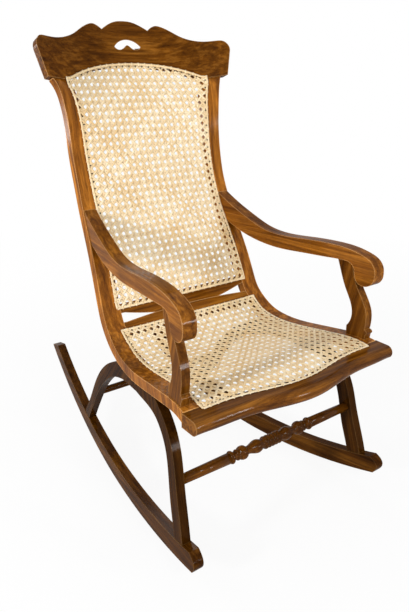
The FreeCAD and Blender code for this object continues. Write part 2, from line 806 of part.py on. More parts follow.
post_middle = post_thickness / 2
crest_pins, front_rail_pins, back_rail_pins, seat_rail_pins = [], [], [], []
foot_edge = sweep_point(foot_parameter).x
front_end_parameter = sweep_at_depth(front_line[0][1] + front_rail_depth)
for place_share in pin_place_shares:
    x = foot_edge - post_back_width * place_share
    middle = crest_foot + Vec(x, 0, 0) + crest_back * (bow_at(x, crest_foot.z) + post_middle)
    crest_pins.append(pin_along(middle, Vec(crest_up), pin_length))
    edge = sweep_point(front_end_parameter)
    middle = Vec(edge.x - post_seat_width * place_share, edge.y, edge.z - post_middle)
    front_rail_pins.append(pin_along(middle, Vec(0, 1, 0), pin_length))
back_pin_height = back_rail_end + (back_rail_top - back_rail_end) * rail_pin_share
seat_pin_depth = seat_rail_end + (seat_rail_front - seat_rail_end) * rail_pin_share
back_pin_place = sweep_at_height(back_pin_height)
seat_pin_place = sweep_at_depth(seat_pin_depth)
for pins, parameter in ((back_rail_pins, back_pin_place), (seat_rail_pins, seat_pin_place)):
    middle = sweep_point(parameter) + sweep_normal(parameter) * post_middle
    middle.x = middle.x - post_width(parameter)
    pins.append(pin_along(middle, Vec(1, 0, 0), pin_length))
arm_pins, support_pins, foot_pins, leg_screws = [], [], [], []
for share in arm_pin_shares:
    edge = sweep_point(sweep_at_height(share * chair_height))
    x = arm_outer(edge.y) - arm_thickness / 2
    arm_pins.append(pin_along(Vec(x, edge.y, edge.z), Vec(arm_splay, -1, 0), pin_length))
support_top_y = support_top_y_share * chair_depth
support_top_z = support_top_z_share * chair_height
support_foot_y = support_foot_y_share * chair_depth
support_foot_z = sweep_point(sweep_at_depth(support_foot_y)).z
for y, z in ((support_top_y, support_top_z), (support_foot_y, support_foot_z)):
    middle = on_support([Vec(0, y, z)])[0] - Vec(support_thickness / 2, 0, 0)
    support_pins.append(pin_along(middle, Vec(support_lean, 0, -1), pin_length))
for (y_leg, z_leg), (y_rocker, z_rocker) in foot_pin_shares:
    ends = on_leg([(y_leg, z_leg), (y_rocker, z_rocker)])
    ends = [end - Vec(leg_thickness / 2, 0, 0) for end in ends]
    foot_pins.append((ends[0], ends[1]))
for share in leg_screw_shares:
    y = share * chair_depth
    parameter = sweep_at_depth(y)
    under = sweep_point(parameter) + sweep_normal(parameter) * post_thickness
    x = leg_outer(under.y, under.z) - leg_thickness / 2
    leg_screws.append(pin_along(Vec(x, under.y, under.z), Vec(0, 0, 1), screw_length))

# Bores, cut on the left half and mirrored.
left_post = bored(left_post, crest_pins + front_rail_pins + back_rail_pins + seat_rail_pins, pin_radius)
left_post = bored(left_post, arm_pins + support_pins[1:], pin_radius)
left_post = bored(left_post, leg_screws, screw_radius)
left_arm = bored(left_arm, arm_pins + support_pins[:1], pin_radius)
left_arm_support = bored(left_arm_support, support_pins, pin_radius)
left_front_leg = bored(left_front_leg, foot_pins[:1], pin_radius)
left_front_leg = bored(left_front_leg, leg_screws[2:], screw_radius)
left_rear_leg = bored(left_rear_leg, foot_pins[1:], pin_radius)
left_rear_leg = bored(left_rear_leg, leg_screws[:2], screw_radius)
left_rocker = bored(left_rocker, foot_pins, pin_radius)


def pins_on_both_sides(pins, radius):
    solids = [pin(start, end, radius) for start, end in pins]
    return solids + [mirrored(solid) for solid in solids]


def bored_both(shape, pins):
    for solid in pins_on_both_sides(pins, pin_radius + pin_clearance):
        shape = shape.cut(solid)
    return largest(shape)


crest_rail = bored_both(crest_rail, crest_pins)
seat_front_rail = bored_both(seat_front_rail, front_rail_pins)
back_rail = bored_both(back_rail, back_rail_pins)
seat_back_rail = bored_both(seat_back_rail, seat_rail_pins)

pieces = {
    "crest_rail": crest_rail,
    "back_rail": back_rail,
    "seat_back_rail": seat_back_rail,
    "seat_front_rail": seat_front_rail,
    "front_stretcher": front_stretcher,
    "rear_stretcher": rear_stretcher,
    "back_cane": back_cane,
    "seat_cane": seat_cane,
}
paired = {
    "post": left_post,
    "arm": left_arm,
    "arm_support": left_arm_support,
    "front_leg": left_front_leg,
    "rear_leg": left_rear_leg,
    "rocker": left_rocker,
}
for name, shape in paired.items():
    pieces["left_" + name] = shape
    pieces["right_" + name] = mirrored(shape)
groups = {
    "crest_dowels": (crest_pins, pin_radius),
    "seat_front_dowels": (front_rail_pins, pin_radius),
    "back_rail_dowels": (back_rail_pins, pin_radius),
    "seat_back_dowels": (seat_rail_pins, pin_radius),
    "arm_dowels": (arm_pins, pin_radius),
    "support_dowels": (support_pins, pin_radius),
    "foot_dowels": (foot_pins, pin_radius),
    "leg_screws": (leg_screws, screw_radius),
}
for name, (pins, radius) in groups.items():
    pieces[name] = Part.makeCompound(pins_on_both_sides(pins, radius))
for name, shape in pieces.items():
    shape.exportStep(os.path.join("parts", name + ".step"))
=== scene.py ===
import bpy
import math
import numpy
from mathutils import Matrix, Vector
from mathutils.bvhtree import BVHTree


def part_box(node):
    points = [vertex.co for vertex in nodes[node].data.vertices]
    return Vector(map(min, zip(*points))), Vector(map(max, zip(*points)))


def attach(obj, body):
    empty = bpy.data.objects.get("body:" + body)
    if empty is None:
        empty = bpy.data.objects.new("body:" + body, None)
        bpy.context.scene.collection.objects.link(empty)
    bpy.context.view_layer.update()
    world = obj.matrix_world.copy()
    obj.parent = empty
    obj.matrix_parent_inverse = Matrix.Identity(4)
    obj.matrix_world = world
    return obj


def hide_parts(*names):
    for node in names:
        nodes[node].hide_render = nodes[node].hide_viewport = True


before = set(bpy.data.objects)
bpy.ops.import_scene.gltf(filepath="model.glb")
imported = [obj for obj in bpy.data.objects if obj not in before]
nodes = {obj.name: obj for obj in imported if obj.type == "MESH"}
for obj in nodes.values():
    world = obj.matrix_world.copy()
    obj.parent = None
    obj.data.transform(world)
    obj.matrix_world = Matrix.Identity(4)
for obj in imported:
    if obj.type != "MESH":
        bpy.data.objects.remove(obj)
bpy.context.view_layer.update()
scene = bpy.context.scene

# Rockers: two long hardwood boards sawn to a curve and splayed towards the front.
# They are stained and varnished dark, with a pale painted highlight and wear along the arrises, and carry
# the legs on dowels.
rocker_arris = 0.0020
rocker_tone = 0.40
rocker_polish = 0.06
rocker_splay = 0.12
rocker_rise = 0.12

# The grain: stretch along and across the board, then detail, roughness and twist of the noise.
figure_grain = (2.2, 62, 6, 0.62, 0.5)
streak_grain = (6, 170, 4, 0.7, 0.3)
pore_grain = (45, 1500, 2, 0.6, 0.0)
patch_grain = (7, 10, 3, 0.55, 0.6)
grain_shift = (0.37, 0.61, 0.23)

# The stain: dark, middle and light wood, shades that multiply them, and how strongly these show.
unchanged = (1.0, 1.0, 1.0)
dark_wood = (0.052, 0.0145, 0.0012)
middle_wood = (0.190, 0.064, 0.0050)
light_wood = (0.430, 0.172, 0.0220)
figure_stops = ((0.26, dark_wood), (0.50, middle_wood), (0.76, light_wood))
streak_stops = ((0.34, (0.42, 0.38, 0.34)), (0.60, unchanged))
pore_stops = ((0.36, (0.30, 0.26, 0.22)), (0.46, unchanged))
patch_stops = ((0.32, (0.66, 0.60, 0.54)), (0.68, (1.30, 1.25, 1.15)))
streak_strength = 0.8
pore_strength = 0.5
patch_strength = 0.8

# The painted highlight and wear along the arrises, a pale colour broken up in patches, and the varnish
# over it all.
arris_highlight_and_wear_colour = (0.62, 0.33, 0.110)
arris_highlight_reach = 0.0035
arris_highlight_samples = 6
arris_stops = ((0.84, (0.70, 0.70, 0.70)), (0.97, (0.0, 0.0, 0.0)))
patchy_highlight_and_wear_stops = ((0.30, (0.25, 0.25, 0.25)), (0.62, unchanged))
varnish_smoothest, varnish_roughest = 0.15, 0.32
varnish_gloss = 0.004
varnish_tint = (1.0, 0.82, 0.66, 1)
polish_roughness = 0.12
grain_emboss, grain_depth = 0.08, 0.0006

# How a board's meshed faces are joined to whole flats and its arrises rubbed round.
join_reach = 0.00002
flat_angle = math.radians(0.4)
arris_angle = math.radians(38)
arris_steps = 3
sides = (("left", 1), ("right", -1))


def new_material(name):
    material = bpy.data.materials.new(name)
    material.use_nodes = True
    return material, material.node_tree, material.node_tree.nodes["Principled BSDF"]


def noise(tree, place, scale, detail, rough=0.5, twist=0.0):
    node = tree.nodes.new("ShaderNodeTexNoise")
    node.inputs["Scale"].default_value = scale
    node.inputs["Detail"].default_value = detail
    node.inputs["Roughness"].default_value = rough
    node.inputs["Distortion"].default_value = twist
    tree.links.new(place, node.inputs["Vector"])
    return node.outputs["Fac"]


def grain_noise(tree, place, lengthwise, crosswise, detail, rough, twist):
    """Noise drawn out along the grain."""
    node = tree.nodes.new("ShaderNodeMapping")
    node.inputs["Scale"].default_value = (lengthwise, crosswise, crosswise)
    tree.links.new(place, node.inputs["Vector"])
    return noise(tree, node.outputs["Vector"], 1.0, detail, rough, twist)


def ramp(tree, value, *stops):
    node = tree.nodes.new("ShaderNodeValToRGB")
    while len(node.color_ramp.elements) < len(stops):
        node.color_ramp.elements.new(0.5)
    for element, (position, colour) in zip(node.color_ramp.elements, stops):
        element.position = position
        element.color = (*colour, 1)
    tree.links.new(value, node.inputs["Fac"])
    return node.outputs["Color"]


def stain(tree, kind, strength, under, over):
    """Lays one colour over another; the strength is a number or a mask, the upper colour too."""
    node = tree.nodes.new("ShaderNodeMix")
    node.data_type = "RGBA"
    node.blend_type = kind
    tree.links.new(under, node.inputs[6])
    if isinstance(strength, float):
        node.inputs[0].default_value = strength
    else:
        tree.links.new(strength, node.inputs[0])
    if isinstance(over, tuple):
        node.inputs[7].default_value = (*over, 1)
    else:
        tree.links.new(over, node.inputs[7])
    return node.outputs[2]


def roughen(tree, shader, value, smoothest, roughest):
    node = tree.nodes.new("ShaderNodeMapRange")
    node.inputs["To Min"].default_value = smoothest
    node.inputs["To Max"].default_value = roughest
    tree.links.new(value, node.inputs["Value"])
    tree.links.new(node.outputs["Result"], shader.inputs["Roughness"])


def emboss(tree, shader, height, strength, depth):
    node = tree.nodes.new("ShaderNodeBump")
    node.inputs["Strength"].default_value = strength
    node.inputs["Distance"].default_value = depth
    tree.links.new(height, node.inputs["Height"])
    tree.links.new(node.outputs["Normal"], shader.inputs["Normal"])


def arris_mask(tree):
    """Bright where a surface turns over an arris, found by rounding it off a little; it places the painted
    arris highlight and wear.
    """
    rounded = tree.nodes.new("ShaderNodeBevel")
    rounded.samples = arris_highlight_samples
    rounded.inputs["Radius"].default_value = arris_highlight_reach
    facing = tree.nodes.new("ShaderNodeNewGeometry")
    flatness = tree.nodes.new("ShaderNodeVectorMath")
    flatness.operation = "DOT_PRODUCT"
    tree.links.new(rounded.outputs["Normal"], flatness.inputs[0])
    tree.links.new(facing.outputs["Normal"], flatness.inputs[1])
    return ramp(tree, flatness.outputs["Value"], *arris_stops)


def varnished_wood(name, along, tone, polish, seed):
    """Stained and varnished hardwood with its grain along a direction, and a painted highlight with wear
    on its arrises; the seed shifts its figure.
    """
    wood, tree, shader = new_material(name)
    spot = tree.nodes.new("ShaderNodeTexCoord")
    turn = tree.nodes.new("ShaderNodeMapping")
    turn.inputs["Rotation"].default_value = Vector(along).rotation_difference(Vector((1, 0, 0))).to_euler()
    turn.inputs["Location"].default_value = [seed * shift for shift in grain_shift]
    tree.links.new(spot.outputs["Object"], turn.inputs["Vector"])
    grain = turn.outputs["Vector"]
    figure = grain_noise(tree, grain, *figure_grain)
    streaks = grain_noise(tree, grain, *streak_grain)
    pores = grain_noise(tree, grain, *pore_grain)
    patches = grain_noise(tree, grain, *patch_grain)

    def toned(colour):
        return tuple(part * tone for part in colour)

    colour = ramp(tree, figure, *((position, toned(shade)) for position, shade in figure_stops))
    colour = stain(tree, "MULTIPLY", streak_strength, colour, ramp(tree, streaks, *streak_stops))
    colour = stain(tree, "MULTIPLY", pore_strength, colour, ramp(tree, pores, *pore_stops))
    colour = stain(tree, "MULTIPLY", patch_strength, colour, ramp(tree, patches, *patch_stops))
    # Painted highlight and wear: the pale arris colour laid over the arrises in patches.
    highlight_and_wear = stain(tree, "MULTIPLY", 1.0, arris_mask(tree), ramp(tree, patches, *patchy_highlight_and_wear_stops))
    colour = stain(tree, "MIX", highlight_and_wear, colour, toned(arris_highlight_and_wear_colour))
    tree.links.new(colour, shader.inputs["Base Color"])
    roughen(tree, shader, patches, varnish_smoothest, varnish_roughest)
    shader.inputs["Specular IOR Level"].default_value = varnish_gloss
    shader.inputs["Specular Tint"].default_value = varnish_tint
    shader.inputs["Coat Weight"].default_value = polish
    shader.inputs["Coat Roughness"].default_value = polish_roughness
    emboss(tree, shader, streaks, grain_emboss, grain_depth)
    return wood


def finish(name, material, softened):
    """Gives a piece its finish and rubs its arrises round."""
    piece = nodes[name]
    mesh = piece.data
    if "custom_normal" in mesh.attributes:
        mesh.attributes.remove(mesh.attributes["custom_normal"])
    mesh.polygons.foreach_set("use_smooth", [True] * len(mesh.polygons))
    mesh.materials.clear()
    mesh.materials.append(material)
    weld = piece.modifiers.new("joined_faces", "WELD")
    weld.merge_threshold = join_reach
    merged = piece.modifiers.new("whole_flats", "DECIMATE")
    merged.decimate_type = "DISSOLVE"
    merged.angle_limit = flat_angle
    rounding = piece.modifiers.new("rubbed_arris", "BEVEL")
    rounding.width = softened
    rounding.segments = arris_steps
    rounding.limit_method = "ANGLE"
    rounding.angle_limit = arris_angle
    rounding.use_clamp_overlap = True
    flats = piece.modifiers.new("true_flats", "WEIGHTED_NORMAL")
    flats.keep_sharp = False


def varnish(name, along, tone, polish, softened, seed):
    """Varnishes one piece with a wood of its own."""
    finish(name, varnished_wood(name + "_wood", along, tone, polish, seed), softened)


for seed, (side, way) in enumerate(sides, start=1):
    rocker_grain = (way * rocker_splay, -1.0, rocker_rise)
    varnish(side + "_rocker", rocker_grain, rocker_tone, rocker_polish, rocker_arris, seed)

# Legs: curved boards sawn from plank, a front and a rear one meeting in an arch under each seat side.
# They stand on the rockers on dowels and are screwed to the posts from below.
leg_arris = 0.0020
leg_tone = 0.24
leg_polish = 0.06
front_leg_splay = 0.05
front_leg_sweep = -0.25
rear_leg_grain = (0.0, 0.7, -0.8)
for seed, (side, way) in enumerate(sides, start=3):
    front_leg_grain = (way * front_leg_splay, front_leg_sweep, -1.0)
    varnish(side + "_front_leg", front_leg_grain, leg_tone, leg_polish, leg_arris, seed)
for seed, (side, way) in enumerate(sides, start=5):
    varnish(side + "_rear_leg", rear_leg_grain, leg_tone, leg_polish, leg_arris, seed)

# Rear stretcher: a plain round bar of the same wood, tenoned into the rear legs.
# It is left straight from the lathe and varnished with the rest.
bar_arris = 0.0006
bar_tone = 0.45
bar_polish = 0.06
crosswise_grain = (1.0, 0.0, 0.0)
varnish("rear_stretcher", crosswise_grain, bar_tone, bar_polish, bar_arris, seed=8)

# Front stretcher: one turning with rings in the middle, a vase, a ball and beads on each side.
# Its tapered shafts end in tenons glued into the front legs.
ring_step, ring_half, ring_radius, ring_groove = 0.0096, 0.0045, 0.0145, 0.0112
side_rings = (1, 2)
vase_start, vase_belly, vase_neck = 0.0245, 0.0420, 0.0690
vase_foot_radius, vase_radius, neck_radius = 0.0105, 0.0150, 0.0088
ball_place, ball_half, ball_radius, ball_groove = 0.0823, 0.0100, 0.0155, 0.0092
small_bead_place, small_bead_half, small_bead_radius = 0.0969, 0.0032, 0.0123
bead_place, bead_half, bead_radius, cove_radius = 0.1130, 0.0043, 0.0146, 0.0096
shaft_start, shaft_radius, shaft_end_radius = 0.1190, 0.0121, 0.0104
tenon_inset = 0.006
middle_slack = 0.0001
turning_steps = 8
turning_sides = 44
turning_tone = 0.60
turning_polish = 0.16


def bulge(middle, half, low, high):
    """Profile points of one bead, from its groove over its crown and down again."""
    angles = [math.pi * step / turning_steps for step in range(turning_steps + 1)]
    return [(middle - half * math.cos(angle), low + (high - low) * math.sin(angle)) for angle in angles]


def swell(first, last, low, high):
    """Profile points of a smooth rise or fall between two places."""
    points = []
    for step in range(1, turning_steps):
        share = step / turning_steps
        rise = (1 - math.cos(math.pi * share)) / 2
        points.append((first + (last - first) * share, low + (high - low) * rise))
    return points


stretcher_low, stretcher_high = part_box("front_stretcher")
stretcher_axis = (stretcher_low + stretcher_high) / 2
shaft_end = stretcher_high.x - tenon_inset
middle_ring = bulge(0, ring_half, ring_groove, ring_radius)
profile = [point for point in middle_ring if point[0] > -middle_slack]
for ring in side_rings:
    profile += bulge(ring * ring_step, ring_half, ring_groove, ring_radius)
profile += [(vase_start, vase_foot_radius)] + swell(vase_start, vase_belly, vase_foot_radius, vase_radius)
profile += [(vase_belly, vase_radius)] + swell(vase_belly, vase_neck, vase_radius, neck_radius)
profile += bulge(ball_place, ball_half, ball_groove, ball_radius)
profile += bulge(small_bead_place, small_bead_half, cove_radius, small_bead_radius)
profile += bulge(bead_place, bead_half, cove_radius, bead_radius)
profile += [(shaft_start, shaft_radius), (shaft_end, shaft_end_radius)]
profile = [(-x, radius) for x, radius in profile[:0:-1]] + profile
turned_points, turned_faces = [], []
for x, radius in profile:
    for side in range(turning_sides):
        angle = 2 * math.pi * side / turning_sides
        spoke = Vector((x, radius * math.cos(angle), radius * math.sin(angle)))
        turned_points.append(stretcher_axis + spoke)
for ring in range(len(profile) - 1):
    for side in range(turning_sides):
        here = ring * turning_sides + side
        beside = ring * turning_sides + (side + 1) % turning_sides
        turned_faces.append((here, here + turning_sides, beside + turning_sides, beside))
turned_faces.append(tuple(range(turning_sides)))
turned_faces.append(tuple(range(len(turned_points) - turning_sides, len(turned_points)))[::-1])
turned_mesh = bpy.data.meshes.new("turned_stretcher")
turned_mesh.from_pydata(turned_points, [], turned_faces)
turned_mesh.polygons.foreach_set("use_smooth", [True] * len(turned_mesh.polygons))
turned_wood = varnished_wood("front_stretcher_wood", crosswise_grain, turning_tone, turning_polish, seed=9)
turned_mesh.materials.append(turned_wood)
turned_stretcher = bpy.data.objects.new("turned_stretcher", turned_mesh)
scene.collection.objects.link(turned_stretcher)
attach(turned_stretcher, "root")
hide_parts("front_stretcher")

# Side posts: each is a back upright and a seat side in one sawn sweep.
# The crest, the three cross rails, the arm and the arm support are dowelled to it.
post_arris = 0.0035
post_tone = 1.65
post_polish = 0.20
post_splay = 0.02
post_lean = 0.25
for seed, (side, way) in enumerate(sides, start=10):
    varnish(side + "_post", (way * post_splay, post_lean, 1.0), post_tone, post_polish, post_arris, seed)

# Seat and back rails: a bullnosed serpentine rail in front, two bellied rails behind.
# Each is a single board between the posts, dowelled at its ends.
rail_arris = 0.0016
front_rail_tone, front_rail_polish = 0.76, 0.20
rear_rail_tone, rear_rail_polish = 1.05, 0.10
varnish("seat_front_rail", crosswise_grain, front_rail_tone, front_rail_polish, rail_arris, seed=12)
varnish("seat_back_rail", crosswise_grain, rear_rail_tone, rear_rail_polish, rail_arris, seed=13)
varnish("back_rail", crosswise_grain, rear_rail_tone, rear_rail_polish, rail_arris, seed=14)

# Crest rail: a bowed plank with a shaped top edge and a cut handhold, eased for the fingers.
# It sits on the tops of the posts on dowels.
crest_arris = 0.0025
crest_tone = 0.78
crest_polish = 0.06
varnish("crest_rail", crosswise_grain, crest_tone, crest_polish, crest_arris, seed=15)

# Arms and arm supports: S-shaped boards, the arm rolled over at its front end.
# The arm is dowelled to the post and to the support, and the support to the seat side.
arm_arris = 0.0050
arm_tone, arm_polish = 1.18, 0.18
arm_splay = 0.12
support_tone, support_polish = 0.85, 0.14
support_grain = (0.0, -0.2, 1.0)
for seed, (side, way) in enumerate(sides, start=16):
    varnish(side + "_arm", (way * arm_splay, -1.0, 0.0), arm_tone, arm_polish, arm_arris, seed)
for seed, (side, way) in enumerate(sides, start=18):
    varnish(side + "_arm_support", support_grain, support_tone, support_polish, arm_arris, seed)

# Dowels: plain beech pins glued into bores in every joint.
# The joints hide them, so they are lighter than the boards and hardly polished.
dowel_arris = 0.0004
dowel_tone = 1.4
dowel_polish = 0.02
upright_grain = (0.0, 0.0, 1.0)
dowel_wood = varnished_wood("dowel_wood", upright_grain, dowel_tone, dowel_polish, seed=21)
for joint in ("crest", "back_rail", "seat_back", "seat_front", "arm", "support", "foot"):
    finish(joint + "_dowels", dowel_wood, dowel_arris)

# Leg screws: steel screws driven up through the arch of the legs into the seat sides.
# They are dull and a little rusted.
screw_arris = 0.0003
rust_scale, rust_detail = 600, 4
rust_stops = ((0.40, (0.36, 0.35, 0.33)), (0.66, (0.19, 0.10, 0.06)))
steel_metallic = 0.9
steel_smoothest, steel_roughest = 0.30, 0.62
rust_emboss, rust_depth = 0.2, 0.0002
screw_steel, steel_tree, steel_shader = new_material("screw_steel")
steel_spot = steel_tree.nodes.new("ShaderNodeTexCoord")
rust = noise(steel_tree, steel_spot.outputs["Object"], rust_scale, rust_detail)
steel_tree.links.new(ramp(steel_tree, rust, *rust_stops), steel_shader.inputs["Base Color"])
steel_shader.inputs["Metallic"].default_value = steel_metallic
roughen(steel_tree, steel_shader, rust, steel_smoothest, steel_roughest)
emboss(steel_tree, steel_shader, rust, rust_emboss, rust_depth)
finish("leg_screws", screw_steel, screw_arris)

# Back cane: split cane woven six ways through holes round the opening, in pairs up and across
# and singly on both diagonals, which leaves eight-sided holes. A cane strip binds the edge, with painted
# shade in the holes beside it.
cane_pitch = 0.0178
pair_gap = 0.0023
strand_width, slant_width, strand_thick = 0.0040, 0.0050, 0.0006
hole_margin = 0.0085
cane_sunk = 0.0030
sample_step = 0.0030

# How high the strands lie over the face, and how they come down to it at their ends.
face_lift = 0.0001
strand_height, pair_lift = 0.0008, 0.0005
slant_height, slant_swing = 0.0018, 0.0003
end_steps, end_share = 3, 0.3

# The binding strip, its stitches, and the small dark patches beside it, which are painted shade in the
# holes.
binder_width, binder_thick, binder_lift = 0.0056, 0.0014, 0.0009
stitch_width, stitch_reach = 0.0030, 0.0040
stitch_crown, stitch_fall = 0.0024, 0.0018
stitch_shares = (-1.0, -0.6, -0.2, 0.2, 0.6, 1.0)
hole_shade_radius, hole_shade_inset, hole_shade_lift = 0.0019, 0.0048, 0.0026
outer_hole_shade_lift = 0.0012
hole_shade_sides = 10

# Straw colours from the darkest strand to the lightest, and the shades of fibre and age.
strand_stops = ((0.0, (0.83, 0.61, 0.32)), (1.0, (0.97, 0.84, 0.60)))
fibre_scale, fibre_detail, fibre_strength = 260, 5, 0.6
fibre_stops = ((0.36, (0.76, 0.66, 0.52)), (0.60, unchanged))
age_scale, age_detail, age_strength = 9, 3, 0.8
age_stops = ((0.34, (0.92, 0.86, 0.76)), (0.66, unchanged))
cane_smoothest, cane_roughest = 0.34, 0.56
fibre_emboss, fibre_depth = 0.25, 0.0003


def split_cane(name):
    """Shiny straw-coloured cane bark, each strand a little different."""
    cane, tree, shader = new_material(name)
    spot = tree.nodes.new("ShaderNodeTexCoord").outputs["Object"]
    strand = tree.nodes.new("ShaderNodeNewGeometry").outputs["Random Per Island"]
    fibre = noise(tree, spot, fibre_scale, fibre_detail)
    age = noise(tree, spot, age_scale, age_detail)
    colour = ramp(tree, strand, *strand_stops)
    colour = stain(tree, "MULTIPLY", fibre_strength, colour, ramp(tree, fibre, *fibre_stops))
    colour = stain(tree, "MULTIPLY", age_strength, colour, ramp(tree, age, *age_stops))
    tree.links.new(colour, shader.inputs["Base Color"])
    roughen(tree, shader, fibre, cane_smoothest, cane_roughest)
    emboss(tree, shader, fibre, fibre_emboss, fibre_depth)
    return cane


def faces_of(*names):
    """One search tree over the faces of several pieces."""
    points, faces = [], []
    for name in names:
        mesh = nodes[name].data
        start = len(points)
        points += [vertex.co.copy() for vertex in mesh.vertices]
        faces += [[start + index for index in polygon.vertices] for polygon in mesh.polygons]
    return BVHTree.FromPolygons(points, faces)


class Panel:
    """A caned opening: its smooth face and its four edges, found on the frame round it."""

    # How far off the looks start, and the steps in which the edges, the face and its length are taken.
    viewpoint = 0.7
    scan_step, survey_step, length_step = 0.001, 0.006, 0.002
    # How far out the rails are surveyed, the scans that meet a post, and what is kept clear or lapped.
    rail_survey, rail_reach = 0.17, 0.18
    post_scans = range(60, 270)
    first_clear, last_clear = 0.004, 0.028
    rail_lap, post_lap, span_lap = 0.012, 0.014, 0.02
    # The smoothness of the fitted edges and face, and how far the frame may stand proud of the face.
    half_scale = 0.2
    across_terms, along_terms = 3, 9
    rail_order, post_order = 3, 6
    nudge = 0.0005
    proud_limit = 0.012

    def __init__(self, sheet, first_rail, last_rail, middle, upright):
        self.upright = upright
        self.around = faces_of("left_post", "right_post", first_rail, last_rail)
        self.first = self.rail_edge(faces_of(first_rail), middle, -self.scan_step)
        self.last = self.rail_edge(faces_of(last_rail), middle, self.scan_step)
        self.centre = (self.first(0.0) + self.last(0.0)) / 2
        self.span = self.last(0.0) - self.centre + self.span_lap
        self.find_posts(faces_of("left_post", "right_post"))
        self.find_face(faces_of(sheet))
        self.measure_lengths()

    def strike(self, tree, x, level, raised=0.0):
        """Where a look at the panel from in front or above meets a piece, or nothing."""
        start = Vector((x, -self.viewpoint, level)) if self.upright else Vector((x, level, self.viewpoint))
        looking = Vector((0, 1, 0)) if self.upright else Vector((0, 0, -1))
        hit, normal = tree.ray_cast(start, looking)[:2]
        if hit is None:
            return None
        hit = hit - normal * math.copysign(raised, normal.dot(looking))
        return (hit.x, hit.z, hit.y) if self.upright else (hit.x, hit.y, hit.z)

    def rail_edge(self, rail, middle, step):
        """The edge of a rail as a level for each place across, found outwards from the middle."""
        places = [float(x) for x in numpy.arange(0, self.rail_survey, self.survey_step)]
        levels = []
        for x in places:
            level = middle
            while self.strike(rail, x, level) is None:
                level += step
            levels.append(level)
        fit = numpy.polynomial.Polynomial.fit([x * x for x in places], levels, self.rail_order)
        return lambda x: float(fit(min(abs(x), self.rail_reach) ** 2))

    def find_posts(self, posts):
        """The opening's half width at each level."""
        levels, halves = [], []
        start, stop = self.first(0.0) + self.first_clear, self.last(0.0) - self.last_clear
        for level in numpy.arange(start, stop, self.survey_step):
            places = [scan * self.scan_step for scan in self.post_scans]
            strikes = [x for x in places if self.strike(posts, x, level) is not None]
            if strikes:
                levels.append(float(level))
                halves.append(strikes[0])
        self.low, self.high = levels[0], levels[-1]
        self.half_fit = numpy.polynomial.Polynomial.fit(levels, halves, self.post_order)

    def find_face(self, woven):
        """A smooth face through the frame round the opening and the sheet in it."""
        samples = []
        start, stop = self.first(0.0) - self.rail_lap, self.last(0.0) + self.rail_lap
        for level in numpy.arange(start, stop, self.survey_step):
            for x in numpy.arange(0.0, self.half(level) + self.post_lap, self.survey_step):
                hit = self.strike(self.around, x, level) or self.strike(woven, x, level, cane_sunk)
                if hit:
                    samples.append(hit)
        rows = numpy.array([self.terms(x, level) for x, level, depth in samples])
        depths = numpy.array([depth for x, level, depth in samples])
        self.weights = numpy.linalg.lstsq(rows, depths, rcond=None)[0]

    def measure_lengths(self):
        """The length of cane along the middle of the face, for each level."""
        self.levels = numpy.arange(self.centre - self.span, self.centre + self.span, self.length_step)
        self.lengths = [0.0]
        for before, after in zip(self.levels, self.levels[1:]):
            rise = self.depth(0.0, after) - self.depth(0.0, before)
            self.lengths.append(self.lengths[-1] + math.hypot(after - before, rise))

    def half(self, level):
        return float(self.half_fit(min(max(level, self.low), self.high)))

    def terms(self, x, level):
        side, up = (x / self.half_scale) ** 2, (level - self.centre) / self.span
        return [side ** i * up ** j for i in range(self.across_terms) for j in range(self.along_terms)]

    def depth(self, x, level):
        return float(numpy.dot(self.weights, self.terms(x, level)))

    def face(self, x, level):
        """The point of the face there, on the frame where that stands in front, and the way it looks."""
        depth = self.depth(x, level)
        across = (self.depth(x + self.nudge, level) - depth) / self.nudge
        along = (self.depth(x, level + self.nudge) - depth) / self.nudge
        hit = self.strike(self.around, x, level)
        if self.upright:
            depth = min(depth, hit[2]) if hit and depth - hit[2] < self.proud_limit else depth
            return Vector((x, depth, level)), Vector((across, -1, along)).normalized()
        depth = max(depth, hit[2]) if hit and hit[2] - depth < self.proud_limit else depth
        return Vector((x, level, depth)), Vector((-across, -along, 1)).normalized()

    def level(self, length):
        return float(numpy.interp(length, self.lengths, self.levels))

    def length(self, level):
        return float(numpy.interp(level, self.levels, self.lengths))

    def inside(self, x, level):
        """Whether a place lies inside the line of holes round the opening."""
        beside = abs(x) <= self.half(level) + hole_margin
        return beside and self.first(x) - hole_margin <= level <= self.last(x) + hole_margin

    def stretches(self, path):
        """The runs of a path, places across and lengths, that lie inside the line of holes."""
        found = [[]]
        for x, length in path:
            level = self.level(length)
            if self.inside(x, level):
                found[-1].append((x, level, length))
            elif found[-1]:
                found.append([])
        return found


